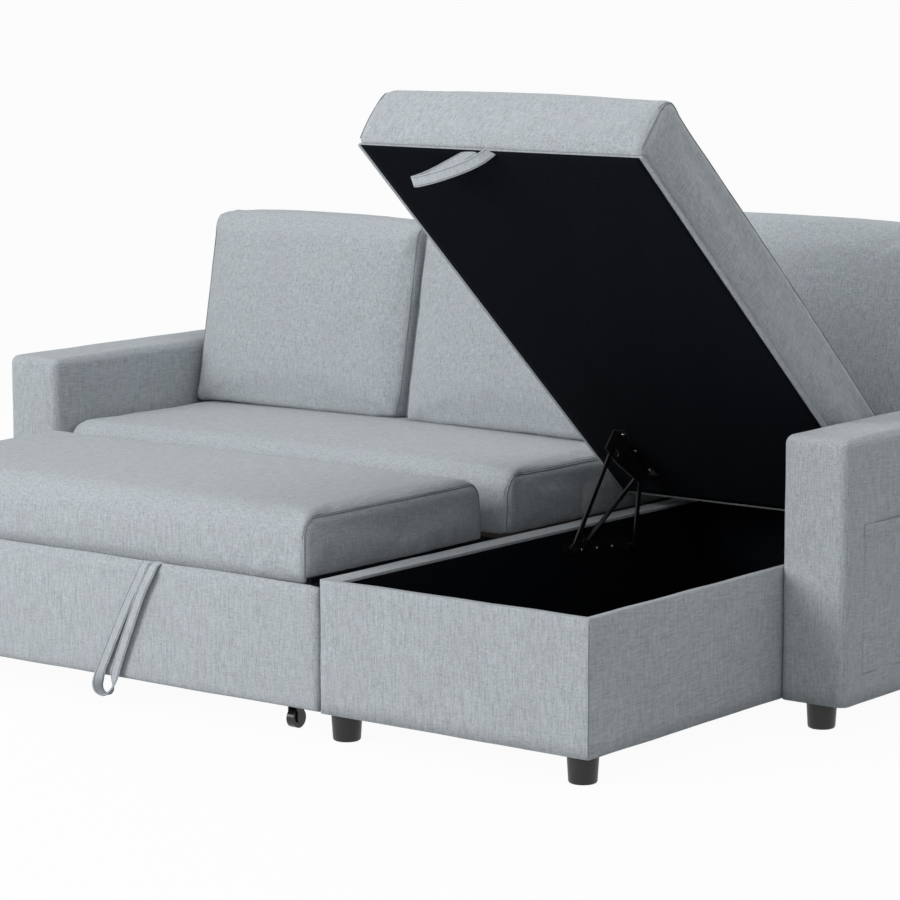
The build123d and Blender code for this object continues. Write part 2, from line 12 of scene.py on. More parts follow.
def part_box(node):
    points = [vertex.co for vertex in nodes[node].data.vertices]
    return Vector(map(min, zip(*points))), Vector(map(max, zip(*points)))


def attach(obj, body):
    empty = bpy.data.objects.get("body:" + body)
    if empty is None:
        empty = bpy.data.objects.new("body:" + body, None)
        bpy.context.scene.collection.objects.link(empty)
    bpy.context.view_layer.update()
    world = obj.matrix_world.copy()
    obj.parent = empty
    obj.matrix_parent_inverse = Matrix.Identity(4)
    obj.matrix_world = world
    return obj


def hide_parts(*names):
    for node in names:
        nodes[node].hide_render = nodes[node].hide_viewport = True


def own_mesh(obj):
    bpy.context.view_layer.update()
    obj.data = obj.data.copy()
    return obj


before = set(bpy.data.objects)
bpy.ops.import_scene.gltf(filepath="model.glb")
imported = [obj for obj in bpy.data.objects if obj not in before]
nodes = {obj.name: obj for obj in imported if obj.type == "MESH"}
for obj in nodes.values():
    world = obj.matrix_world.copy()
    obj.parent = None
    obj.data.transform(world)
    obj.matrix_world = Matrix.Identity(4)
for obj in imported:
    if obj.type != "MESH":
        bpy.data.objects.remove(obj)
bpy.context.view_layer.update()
scene = bpy.context.scene

LEFT, RIGHT = Vector((-1, 0, 0)), Vector((1, 0, 0))
FRONT, BACK = Vector((0, -1, 0)), Vector((0, 1, 0))
DOWN, UP = Vector((0, 0, -1)), Vector((0, 0, 1))


def lid_place():
    """Matrix from the lid's own flat frame to where it stands open, its length and its height."""
    board = max(nodes["lid_board"].data.polygons, key=lambda face: face.area)
    rise = board.normal.copy() if board.normal.z > 0 else -board.normal
    run = rise.cross(RIGHT)
    points = [vert.co for vert in nodes["lid_cushion"].data.vertices]
    runs = [point.dot(run) for point in points]
    rises = [point.dot(rise) for point in points]
    turn = Matrix((RIGHT, run, rise)).transposed().to_4x4()
    place = Matrix.Translation(run * min(runs) + rise * min(rises)) @ turn
    return place, max(runs) - min(runs), max(rises) - min(rises)


LID_PLACE, LID_LENGTH, LID_HEIGHT = lid_place()
LID_TILT = -LID_PLACE.to_euler().x
LID_BORDER = 0.018


class Wire:
    """One socket of a finish. Adding to it or multiplying it adds a Math node."""

    def __init__(self, finish, socket):
        self.finish = finish
        self.socket = socket

    def maths(self, operation, first, second):
        return self.finish.node("ShaderNodeMath", {"operation": operation}, {0: first, 1: second})

    def __add__(self, other):
        return self.maths("ADD", self, other)

    def __mul__(self, other):
        return self.maths("MULTIPLY", self, other)


class Graph:
    """A node tree whose nodes are added one by one."""

    def __init__(self, tree):
        self.tree = tree

    def node(self, kind, settings, sockets, out=0):
        made = self.tree.nodes.new(kind)
        for name, value in settings.items():
            setattr(made, name, value)
        self.feed(made, sockets)
        return Wire(self, made.outputs[out])

    def feed(self, made, sockets):
        for key, value in sockets.items():
            if isinstance(value, Wire):
                self.tree.links.new(value.socket, made.inputs[key])
            else:
                made.inputs[key].default_value = value

    def seen(self):
        """1 where a ray from the camera, a mirror or a clear piece meets this, else 0."""
        rays = [self.node("ShaderNodeLightPath", {}, {}, name)
                for name in ("Is Camera Ray", "Is Glossy Ray", "Is Transmission Ray")]
        return rays[0] + rays[1] + rays[2]


class Finish(Graph):
    """A material that ends in its own shader."""

    def __init__(self, name, **fixed):
        self.material = bpy.data.materials.new(name)
        self.material.use_nodes = True
        super().__init__(self.material.node_tree)
        self.shader = self.tree.nodes["Principled BSDF"]
        for socket, value in fixed.items():
            self.shader.inputs[socket.replace("_", " ")].default_value = value

    def show(self, **sockets):
        self.feed(self.shader, {name.replace("_", " "): value for name, value in sockets.items()})
        return self.material

    def place(self, turn=0.0):
        spot = self.node("ShaderNodeTexCoord", {}, {}, "Object")
        if turn:
            spot = self.node("ShaderNodeMapping", {}, {"Vector": spot, "Rotation": (turn, 0, 0)})
        return spot

    def grain(self, spot, scale, detail=2.0, rough=0.55, offset=(0, 0, 0)):
        """Noise that is stretched by a scale along each axis."""
        drawn = self.node("ShaderNodeMapping", {}, {"Vector": spot, "Scale": scale, "Location": offset})
        settings = {"noise_dimensions": "3D"}
        return self.node("ShaderNodeTexNoise", settings, {"Vector": drawn, "Scale": 1.0, "Detail": detail,
                                                          "Roughness": rough})

    def spread(self, value, low, high, to_low=0.0, to_high=1.0):
        """Map a range of values onto another, held at both ends."""
        return self.node("ShaderNodeMapRange", {"clamp": True},
                         {"Value": value, "From Min": low, "From Max": high, "To Min": to_low, "To Max": to_high})

    def blend(self, share, first, second):
        return self.node("ShaderNodeMix", {"data_type": "RGBA"}, {0: share, 6: first, 7: second}, 2)

    def bump(self, height, depth, strength=1.0):
        return self.node("ShaderNodeBump", {}, {"Height": height, "Distance": depth, "Strength": strength})


def grey(level, tint=(1.0, 1.0, 1.0)):
    return (level * tint[0], level * tint[1], level * tint[2], 1.0)


COOL = (0.925, 0.99, 1.03)


def linen(name, turn=0.0, level=0.40, contrast=0.66):
    """Heathered linen-look weave: slubs along each axis, flecks, and a plain weave in relief."""
    cloth = Finish(name, Sheen_Weight=0.12, Sheen_Roughness=0.5, Specular_IOR_Level=0.25)
    spot = cloth.place(turn)
    yarns = [
        cloth.grain(spot, (55, 460, 460), offset=(3.1, 0, 0)),
        cloth.grain(spot, (340, 38, 340), offset=(0, 5.7, 0)),
        cloth.grain(spot, (340, 340, 34), offset=(0, 0, 9.3)),
    ]
    slub = yarns[0] * 0.24 + yarns[1] * 0.36 + yarns[2] * 0.40
    heather = cloth.spread(slub, 0.36, 0.64)
    fleck = cloth.spread(cloth.grain(spot, (170, 170, 170), 1.0), 0.60, 0.74)
    wash = cloth.spread(cloth.grain(spot, (9, 9, 9), 1.0), 0.3, 0.7)
    dark = grey(level * (1 - 0.42 * contrast), COOL)
    pale = grey(level * (1 + 0.40 * contrast), COOL)
    shade = cloth.blend(heather, dark, pale)
    shade = cloth.blend(fleck * 0.20, shade, grey(level * 0.45, COOL))
    shade = cloth.blend(wash * 0.22, shade, grey(level * 0.93, (0.95, 0.97, 1.06)))
    weave = cloth.node("ShaderNodeTexWave", {"wave_type": "BANDS", "bands_direction": "DIAGONAL"},
                       {"Vector": spot, "Scale": 330.0, "Distortion": 1.5, "Detail": 1.0}, "Fac")
    relief = slub * 0.8 + weave * 0.2
    return cloth.show(Base_Color=shade, Roughness=cloth.spread(slub, 0.3, 0.7, 0.97, 0.86),
                      Normal=cloth.bump(relief, 0.0016, 0.55))


def lining_cloth():
    """Black non-woven lining: matt fibres and a fine embossed grid."""
    cloth = Finish("black_lining", Specular_IOR_Level=0.06)
    spot = cloth.place()
    fibre = cloth.grain(spot, (260, 260, 260), 4.0, 0.7)
    dimple = cloth.node("ShaderNodeTexVoronoi", {"feature": "F1"}, {"Vector": spot, "Scale": 420.0}, "Distance")
    shade = cloth.blend(cloth.spread(fibre, 0.35, 0.7), (0.0026, 0.0036, 0.0055, 1), (0.0050, 0.0066, 0.0095, 1))
    return cloth.show(Base_Color=shade, Roughness=cloth.spread(fibre, 0.3, 0.7, 0.98, 0.82),
                      Normal=cloth.bump(fibre * 0.6 + dimple * 0.4, 0.0008, 0.5))


def powder_coat():
    """Black powder-coated steel with a fine orange peel and rubbed patches."""
    steel = Finish("black_steel", Specular_IOR_Level=0.36)
    spot = steel.place()
    peel = steel.grain(spot, (900, 900, 900), 2.0)
    rub = steel.spread(steel.grain(spot, (35, 35, 35), 3.0, 0.65), 0.45, 0.72)
    shade = steel.blend(rub * 0.6, (0.005, 0.0054, 0.0068, 1), (0.011, 0.0118, 0.014, 1))
    return steel.show(Base_Color=shade, Roughness=steel.spread(rub, 0, 1, 0.44, 0.60),
                      Normal=steel.bump(peel, 0.0003, 0.4))


def zinc_plate():
    """Bright zinc on small screws, dulled in patches."""
    zinc = Finish("zinc_plate", Metallic=1.0)
    spot = zinc.place()
    dull = zinc.spread(zinc.grain(spot, (600, 600, 600), 2.0), 0.35, 0.7)
    shade = zinc.blend(dull, (0.72, 0.73, 0.75, 1), (0.50, 0.51, 0.53, 1))
    return zinc.show(Base_Color=shade, Roughness=zinc.spread(dull, 0, 1, 0.22, 0.42))


def moulded_plastic(name, level, smooth):
    """Black moulded plastic: a fine spark texture, scuffed a little."""
    plastic = Finish(name, Specular_IOR_Level=0.45)
    spot = plastic.place()
    spark = plastic.grain(spot, (1400, 1400, 1400), 2.0)
    scuff = plastic.spread(plastic.grain(spot, (60, 60, 14), 4.0, 0.7), 0.52, 0.75)
    shade = plastic.blend(scuff * 0.5, grey(level), grey(level * 2.1))
    return plastic.show(Base_Color=shade, Roughness=plastic.spread(scuff, 0, 1, smooth, smooth + 0.18),
                        Normal=plastic.bump(spark, 0.0002, 0.35))


def bare_timber(name, along, tone=1.0):
    """Softwood with its grain along one axis; a low tone darkens it all over."""
    wood = Finish(name, Specular_IOR_Level=0.3)
    spot = wood.place()
    thin = [60.0, 60.0, 60.0]
    thin[along] = 3.0
    rings = wood.grain(spot, tuple(thin), 4.0, 0.6)
    pores = wood.grain(spot, tuple(8 * value for value in thin), 2.0)
    shade = wood.blend(wood.spread(rings, 0.35, 0.65), grey(tone, (0.50, 0.34, 0.19)), grey(tone, (0.66, 0.50, 0.31)))
    shade = wood.blend(wood.spread(pores, 0.6, 0.75) * 0.35, shade, grey(tone, (0.32, 0.20, 0.10)))
    return wood.show(Base_Color=shade, Roughness=wood.spread(rings, 0.3, 0.7, 0.6, 0.78),
                     Normal=wood.bump(rings * 0.5 + pores * 0.5, 0.0006, 0.5))


FABRIC = linen("linen_weave")
LID_FABRIC = linen("linen_weave_on_lid", LID_TILT)
TAPE = linen("linen_tape", level=0.43, contrast=0.5)
# The seam thread is darker than the cloth: its own thread colour, with painted shade for the seam grooves and the
# shadow lines along the strap's edges.
SEAM_THREAD_AND_SHADE = linen("seam_thread_darkened_for_shade", level=0.23, contrast=0.5)
STITCH_THREAD = linen("stitch_thread", level=0.30, contrast=0.5)
LINING_AND_PAINTED_SHADE = lining_cloth()
STEEL = powder_coat()
ZINC = zinc_plate()
FOOT_PLASTIC = moulded_plastic("foot_plastic", 0.010, 0.42)
CASTER_PLASTIC = moulded_plastic("caster_plastic", 0.011, 0.20)
TIMBER_X = bare_timber("timber_across", 0)
TIMBER_Y = bare_timber("timber_deep", 1)
TIMBER_Z = bare_timber("timber_upright", 2)
# Seat slats darkened to near black: painted shade for the dark gap between the seat cushion and the mattress.
TIMBER_DARKENED_AS_SHADE = bare_timber("timber_darkened_as_painted_shade", 1, 0.03)


# Shapes
def block(low, high):
    """A closed box between two corners."""
    shape = bmesh.new()
    bmesh.ops.create_cube(shape, size=1)
    bmesh.ops.scale(shape, vec=high - low, verts=shape.verts)
    bmesh.ops.translate(shape, vec=(low + high) / 2, verts=shape.verts)
    shape.normal_update()
    return shape


def edges_between(shape, *pairs):
    """Edges where faces that point the two named ways meet."""
    found = []
    for edge in shape.edges:
        ways = [face.normal for face in edge.link_faces]
        for first, second in pairs:
            if any(way.dot(first) > 0.9 for way in ways) and any(way.dot(second) > 0.9 for way in ways):
                found.append(edge)
                break
    return found


def face_towards(shape, way):
    return max(shape.faces, key=lambda face: max(0, face.normal.dot(way)) ** 8 * face.calc_area())


def round_off(shape, edges, radius, segments):
    bmesh.ops.bevel(shape, geom=edges, offset=radius, offset_type="OFFSET", affect="EDGES", segments=segments,
                    profile=0.5, material=-1, clamp_overlap=True)
    shape.normal_update()


def lattice(shape, low, high, step):
    """Cut a shape into cells of about one step along each axis."""
    for axis in range(3):
        cells = max(1, round((high[axis] - low[axis]) / step))
        way = Vector((0, 0, 0))
        way[axis] = 1
        for cell in range(1, cells):
            level = low[axis] + (high[axis] - low[axis]) * cell / cells
            parts = shape.verts[:] + shape.edges[:] + shape.faces[:]
            bmesh.ops.bisect_plane(shape, geom=parts, dist=1e-5, plane_co=way * level, plane_no=way)
    shape.normal_update()


def puff(shape, low, high, amount, skip=()):
    """Swell the flat sides of a boxed shape, most in their middles."""
    middle, half = (low + high) / 2, (high - low) / 2
    for vert in shape.verts:
        share = [(vert.co[axis] - middle[axis]) / half[axis] for axis in range(3)]
        for axis in range(3):
            if abs(share[axis]) < 0.985:
                continue
            if any(way[axis] * share[axis] > 0 for way in skip):
                continue
            others = [max(0.0, 1 - share[other] ** 2) for other in range(3) if other != axis]
            vert.co[axis] += math.copysign(amount * (others[0] * others[1]) ** 0.4, share[axis])
    shape.normal_update()


def ripple(shape, amount, size):
    """Uneven the surface by smooth noise, as stretched cloth over wadding is."""
    moves = [vert.normal * (amount * noise.noise(vert.co / size)) for vert in shape.verts]
    for vert, move in zip(shape.verts, moves):
        vert.co += move
    shape.normal_update()


def new_object(name, shape):
    mesh = bpy.data.meshes.new(name)
    shape.to_mesh(mesh)
    shape.free()
    made = bpy.data.objects.new(name, mesh)
    scene.collection.objects.link(made)
    return made


def dress(made, body, finish, slot, *replaced, crease=None):
    """Give a piece its finish and its body, and hide the solids it stands for."""
    made.data.materials.clear()
    made.data.materials.append(finish)
    made.data.shade_smooth()
    if crease is not None:
        made.data.set_sharp_from_angle(angle=math.radians(crease))
    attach(made, body)
    if replaced:
        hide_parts(*replaced)
    return made


def settle(made):
    """Make the mesh what its modifiers show, and take them off."""
    graph = bpy.context.evaluated_depsgraph_get()
    mesh = bpy.data.meshes.new_from_object(made.evaluated_get(graph))
    made.modifiers.clear()
    spent = made.data
    made.data = mesh
    bpy.data.meshes.remove(spent)


FILL_FRAMES = 16


def swollen(point, low, high, swell, power=2):
    """Where a point of a boxed shape goes when its sides crown: left, right, front, back, bottom, top."""
    middle, half = (low + high) / 2, (high - low) / 2
    share = [max(-1.0, min(1.0, (point[axis] - middle[axis]) / half[axis])) for axis in range(3)]
    moved = point.copy()
    for axis in range(3):
        amount = swell[2 * axis + (share[axis] > 0)]
        spread = 1.0
        for other in range(3):
            if other != axis:
                spread *= 1 - 0.78 * abs(share[other]) ** power
        moved[axis] += math.copysign(amount * abs(share[axis]) ** 1.5 * spread, share[axis])
    return moved


def stuffed(name, shape, low, high, swell, cell, pressure, cap, held, shift=None, power=2):
    """Sew a shape up as one cover, crown it, fill it with the cloth solver, and hold each point near its place."""
    cover = new_object(name, shape)
    remesh = cover.modifiers.new("cut", "REMESH")
    remesh.mode = "VOXEL"
    remesh.voxel_size = cell
    even = cover.modifiers.new("even", "SMOOTH")
    even.factor = 0.5
    even.iterations = 2
    settle(cover)
    for vert in cover.data.vertices:
        vert.co = swollen(vert.co, low, high, swell, power)
        if shift:
            vert.co = shift(vert.co)
    cover.data.update()
    homes = [vert.co.copy() for vert in cover.data.vertices]
    group = cover.vertex_groups.new(name="held")
    group.add([vert.index for vert in cover.data.vertices if held(vert.co)], 1.0, "REPLACE")
    cloth = cover.modifiers.new("filling", "CLOTH")
    rules = cloth.settings
    rules.quality = 4
    rules.mass = 0.3
    rules.tension_stiffness = 15
    rules.compression_stiffness = 15
    rules.shear_stiffness = 5
    rules.bending_stiffness = 0.3
    rules.shrink_min = -0.012
    rules.use_pressure = True
    rules.uniform_pressure_force = pressure
    rules.vertex_group_mass = "held"
    rules.effector_weights.gravity = 0
    cloth.collision_settings.use_collision = False
    cloth.collision_settings.use_self_collision = False
    cloth.point_cache.frame_start = 1
    cloth.point_cache.frame_end = FILL_FRAMES
    for count in range(1, FILL_FRAMES + 1):
        scene.frame_set(count)
    settle(cover)
    scene.frame_set(1)
    for vert, home in zip(cover.data.vertices, homes):
        move = vert.co - home
        if move.length > 1e-7:
            vert.co = home + move * (cap * math.tanh(move.length / cap) / move.length)
    cover.vertex_groups.clear()
    cover.data.update()
    return cover


def smooth_surface(made, levels=1):
    finer = made.modifiers.new("finer", "SUBSURF")
    finer.levels = levels
    finer.render_levels = levels
    return made


# Seams
SEAM_STEP = 0.006


def paced(path, step):
    """Points at an even step along a path."""
    made = [path[0].copy()]
    spare = 0.0
    for start, end in zip(path, path[1:]):
        length = (end - start).length
        if length < 1e-9:
            continue
        reach = step - spare
        while reach <= length:
            made.append(start.lerp(end, reach / length))
            reach += step
        spare = length - (reach - step)
    return made


def surface_of(made):
    graph = bpy.context.evaluated_depsgraph_get()
    return BVHTree.FromObject(made, graph)


def press_in(made, path, width, depth):
    """Draw the cover in along a seam."""
    tree = KDTree(len(path))
    for count, point in enumerate(path):
        tree.insert(point, count)
    tree.balance()
    normals = [vert.normal.copy() for vert in made.data.vertices]
    for vert, way in zip(made.data.vertices, normals):
        distance = tree.find(vert.co)[2]
        if distance < width:
            vert.co -= way * depth * (1 - (distance / width) ** 2) ** 2
    made.data.update()


def pucker(made, path, reach, depth, pitch):
    """Small gathers that run out from a seam, uneven along it and flat right at the thread."""
    flat = 0.010
    path = paced(path, SEAM_STEP)
    tree = KDTree(len(path))
    for count, point in enumerate(path):
        tree.insert(point, count)
    tree.balance()
    moves = []
    for vert in made.data.vertices:
        _, place, distance = tree.find(vert.co)
        if distance > reach:
            continue
        fade = (1 - distance / reach) ** 2 * min(1.0, distance / flat)
        wave = noise.noise(Vector((place * SEAM_STEP / pitch, distance / (3 * pitch), path[0].x * 7)))
        patch = max(0.0, 0.5 + noise.noise(Vector((place * SEAM_STEP / (6 * pitch), 3.7, path[0].z * 5))))
        moves.append((vert, vert.normal * (depth * fade * wave * 2 * patch)))
    for vert, move in moves:
        vert.co += move
    made.data.update()


def crumple(made, spot, reach, depth):
    """Slack folds on a cover around a spot, slanting across it."""
    moves = []
    for vert in made.data.vertices:
        away = vert.co - spot
        fade = 1 - sum((away[axis] / reach[axis]) ** 2 for axis in range(3))
        if fade <= 0:
            continue
        slant = away.y + 0.6 * away.z
        broad = noise.noise(Vector((slant / 0.030, away.z / 0.110, 2.3)))
        fine = noise.noise(Vector((slant / 0.014, away.z / 0.05, 8.1)))
        moves.append((vert, vert.normal * (depth * fade * (broad + 0.5 * fine))))
    for vert, move in moves:
        vert.co += move
    made.data.update()


def tube(name, path, radius):
    """A round thread along a path, as a mesh."""
    curve = bpy.data.curves.new(name, "CURVE")
    curve.dimensions = "3D"
    curve.bevel_depth = radius
    curve.bevel_resolution = 1
    curve.use_fill_caps = True
    line = curve.splines.new("POLY")
    line.points.add(len(path) - 1)
    for spot, point in zip(line.points, path):
        spot.co = (*point, 1)
    drawn = bpy.data.objects.new(name, curve)
    mesh = bpy.data.meshes.new_from_object(drawn)
    bpy.data.objects.remove(drawn)
    bpy.data.curves.remove(curve)
    made = bpy.data.objects.new(name, mesh)
    scene.collection.objects.link(made)
    return made


def seam(name, cover, path, body, width=0.011, depth=0.0035, radius=0.0011, rise=0.0006, thread=SEAM_THREAD_AND_SHADE):
    """Press a seam into a cover and lay its thread in the groove."""
    path = paced(path, SEAM_STEP)
    surface = surface_of(cover)
    path = [surface.find_nearest(point)[0] for point in path]
    press_in(cover, path, width, depth)
    surface = surface_of(cover)
    laid = []
    for point in path:
        spot, way, _, _ = surface.find_nearest(point)
        laid.append(spot + way * rise)
    return dress(tube(name, laid, radius), body, thread, "upholstery")


def tuck(made, spot, reach, move):
    """Pull a corner of a cover, fading out around it."""
    for vert in made.data.vertices:
        distance = (vert.co - spot).length
        if distance < reach:
            vert.co += move * (1 - (distance / reach) ** 2) ** 2
    made.data.update()


def stitches(name, cover, path, body, pitch=0.0065, length=0.0042, radius=0.0006):
    """Separate thread stitches along a path on a cover."""
    surface = surface_of(cover)
    spots = paced(path, pitch)
    shape = bmesh.new()
    for spot, after in zip(spots, spots[1:]):
        point, way, _, _ = surface.find_nearest((spot + after) / 2)
        along = (after - spot).normalized()
        side = way.cross(along).normalized()
        turn = Matrix((along, side, along.cross(side))).transposed().to_4x4()
        size = Matrix.Diagonal((length / 2, radius, radius, 1))
        bmesh.ops.create_icosphere(shape, subdivisions=1, radius=1,
                                   matrix=Matrix.Translation(point + way * radius * 0.4) @ turn @ size)
    return dress(new_object(name, shape), body, TAPE, "upholstery")


# Cushions
def boxed_shape(low, high, front_round, rear_round, edge_round):
    """A boxed cushion: top and front in one panel over a round edge, with a side panel sewn in at each end."""
    shape = block(low, high)
    round_off(shape, edges_between(shape, (FRONT, UP)), front_round, 7)
    round_off(shape, edges_between(shape, (BACK, UP)), rear_round, 5)
    round_off(shape, edges_between(shape, (FRONT, DOWN)), 0.007, 3)
    outlines = []
    for way in (LEFT, RIGHT):
        outlines.append([vert.co.copy() for vert in face_towards(shape, way).verts])
    rims = [edge for way in (LEFT, RIGHT) for edge in face_towards(shape, way).edges]
    round_off(shape, rims, edge_round, 3)
    return shape, outlines


def open_outline(outline, floor):
    """The part of a side panel's outline above its bottom edge, from the front to the back."""
    kept = [point for point in outline if point.z > floor]
    middle = sum(point.y for point in kept) / len(kept)
    path = sorted(kept, key=lambda point: math.atan2(point.z - floor, middle - point.y))
    front, rear = path[0].copy(), path[-1].copy()
    front.z = rear.z = floor
    return [front, *path, rear]


def boxed_cushion(name, node, body, finish, rounds, swell, low, high):
    """A boxed cushion between two corners, crowned, filled and seamed along both side panels."""
    start_low = low + Vector((swell[0], swell[2], swell[4]))
    start_high = high - Vector((swell[1], swell[3], swell[5]))
    shape, outlines = boxed_shape(start_low, start_high, *rounds)
    floor = start_low.z + 0.004
    cover = stuffed(name, shape, start_low, start_high, swell, cell=0.0115, pressure=2.5, cap=0.006,
                    held=lambda co: co.z < floor)
    dress(cover, body, finish, "cushion", node)
    smooth_surface(cover)
    seams = []
    beside_seam = 0.0085
    for side, outline in zip(("left", "right"), outlines):
        path = open_outline(outline, start_low.z + 0.008)
        path = [swollen(point, start_low, start_high, swell) for point in path]
        seams.append(seam(f"{name}_{side}_seam", cover, path, body))
        inward = Vector((beside_seam if side == "left" else -beside_seam, 0, 0))
        line = [point + inward for point in path[1:-1]]
        seams.append(seam(f"{name}_{side}_topstitch", cover, line, body, width=0.006, depth=0.0012, radius=0.0007,
                          rise=0.0003, thread=STITCH_THREAD))
        pucker(cover, path, reach=0.05, depth=0.0014, pitch=0.022)
    return cover, seams


def make_cushions():
    low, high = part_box("bed_mattress")
    low += Vector((-0.003, -0.003, -0.014))
    boxed_cushion("bed_mattress_cover", "bed_mattress", "deck", FABRIC, (0.046, 0.034, 0.008),
                  (0.006, 0.006, 0.006, 0.006, 0, 0.012), low, high)
    low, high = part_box("seat_cushion")
    low += Vector((0, -0.004, -0.006))
    boxed_cushion("seat_cushion_cover", "seat_cushion", "sofa", FABRIC, (0.042, 0.034, 0.008),
                  (0.0, 0.006, 0.006, 0.004, 0, 0.012), low, high)


def back_cushion(name, node, lift=0.0, foot=0.0, taller=0.0):
    """A leaning back cushion: full at its foot, thinner at its head, front and top in one panel between the sides."""
    crown, thinning = 3, 0.42
    low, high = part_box(node)
    low += Vector((-0.001, -0.010, -0.006))
    high += Vector((0.001, 0, taller))
    swell = (0.006, 0.006, 0.032, 0.002, 0, 0.018)
    start_low = low + Vector((0.004, 0.016, 0))
    start_high = high - Vector((0.004, 0.002, 0.012))
    size = start_high - start_low

    def lean(point):
        rise = (point.z - start_low.z) / size.z
        near = (start_high.y - point.y) / size.y
        ahead = foot * max(0.0, 1 - rise) ** 2
        return point + Vector((0, (thinning * size.y * rise - ahead) * near, lift * (1 - rise) * near))

    shape, outlines = boxed_shape(start_low, start_high, 0.036, 0.030, 0.010)
    wall = start_high.y - 0.012
    cover = stuffed(name, shape, start_low, start_high, swell, cell=0.0105, pressure=4.0, cap=0.007,
                    held=lambda co: co.y > wall, shift=lean, power=crown)
    dress(cover, "sofa", FABRIC, "cushion", node)
    smooth_surface(cover)
    toe = [lean(Vector((x, start_low.y, start_low.z + 0.004))) for x in (start_low.x, start_high.x)]
    tuck(cover, toe[1], 0.075, Vector((-0.010, 0.004, 0.010)))
    pucker(cover, toe, reach=0.100, depth=0.0062, pitch=0.046)
    for side, outline in zip(("left", "right"), outlines):
        path = open_outline(outline, start_low.z + 0.014)
        path = [lean(swollen(point, start_low, start_high, swell, crown)) for point in path]
        seam(f"{name}_{side}_seam", cover, path, "sofa", width=0.010, depth=0.003)
        pucker(cover, path, reach=0.075, depth=0.0034, pitch=0.032)


def make_back_cushions():
    back_cushion("left_back_cover", "left_back_cushion", foot=0.014, taller=0.012)
    back_cushion("middle_back_cover", "middle_back_cushion", foot=0.018, taller=0.012)
    back_cushion("chaise_back_cover", "chaise_back_cushion", lift=0.038, taller=0.024)


def make_lid():
    """The chaise lid: a boxed cushion, recessed underneath for the board and the black lining.
    Its left side draws in where it comes down beside the seat."""
    wider_left, wider_right, longer, thicker = 0.010, 0.003, 0.015, 0.018
    recess, recess_below, crown = 0.006, 0.014, 0.010
    seat_from, seat_fade, seat_room = 0.48, 0.16, 0.012
    low = Vector((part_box("lid_cushion")[0].x - wider_left, -longer, 0))
    high = Vector((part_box("lid_cushion")[1].x + wider_right, LID_LENGTH, LID_HEIGHT + thicker))
    swell = (0.008, 0.006, 0.005, 0.006, 0, 0.012)
    cover, seams = boxed_cushion("lid_cover", "lid_cushion", "lid", LID_FABRIC, (0.040, 0.032, 0.008), swell,
                                 low, high)
    for vert in cover.data.vertices:
        inside = min(vert.co.x - low.x, high.x - vert.co.x, vert.co.y - low.y, high.y - vert.co.y) - LID_BORDER
        if vert.co.z < recess_below and inside > 0:
            vert.co.z += min(recess, inside)
    slack = Vector((high.x, LID_LENGTH * 0.52, LID_HEIGHT * 0.5))
    crumple(cover, slack, Vector((0.05, 0.26, 0.08)), 0.0036)
    for x in (low.x, high.x):
        edge = [Vector((x, 0.04, 0.004)), Vector((x, LID_LENGTH - 0.06, 0.004))]
        pucker(cover, edge, reach=0.060, depth=0.0034, pitch=0.030)
    middle, half = (low.x + high.x) / 2, (high.x - low.x) / 2
    for made in (cover, *seams):
        for vert in made.data.vertices:
            arch = max(0.0, 1 - ((vert.co.x - middle) / half) ** 2)
            vert.co.z += crown * arch * max(0.0, vert.co.z / LID_HEIGHT - 0.2)
            beside_seat = min(1.0, max(0.0, (vert.co.y - seat_from) / seat_fade))
            vert.co.x += seat_room * beside_seat * max(0.0, (middle - vert.co.x) / half)
        made.data.transform(LID_PLACE)
        made.data.update()


make_cushions()
make_back_cushions()
make_lid()


# Tight upholstery over the timber frames
def upholstered(name, body, replaced, low, high, edges, radius, swell, cell, skip=()):
    """A padded box with rounded edges; the sides to skip stay flat."""
    shape = block(low, high)
    round_off(shape, edges_between(shape, *edges), radius, 5)
    lattice(shape, low, high, cell)
    puff(shape, low, high, swell, skip)
    ripple(shape, 0.0012, 0.11)
    dress(new_object(name, shape), body, FABRIC, "upholstery", *replaced)


def make_arms():
    for side in ("left", "right"):
        low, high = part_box(f"{side}_arm_cover")
        ends = [(FRONT, LEFT), (FRONT, RIGHT), (FRONT, UP), (UP, LEFT), (UP, RIGHT)]
        upholstered(f"{side}_arm_upholstery", "sofa", [f"{side}_arm_cover"], low, high, ends, 0.017, 0.003, 0.03,
                    (DOWN, BACK))


def make_back():
    low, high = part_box("back_cover")
    upholstered("back_upholstery", "sofa", ["back_cover"], low, high, [(UP, FRONT), (UP, BACK)], 0.017, 0.003, 0.04,
                (DOWN, LEFT, RIGHT, FRONT))


def make_bed_panel():
    low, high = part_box("bed_front_panel")
    ends = [(FRONT, LEFT), (FRONT, RIGHT), (FRONT, UP), (UP, BACK), (FRONT, DOWN)]
    upholstered("bed_panel_upholstery", "bed", ["bed_front_panel"], low, high, ends, 0.011, 0.003, 0.025, (BACK, DOWN))


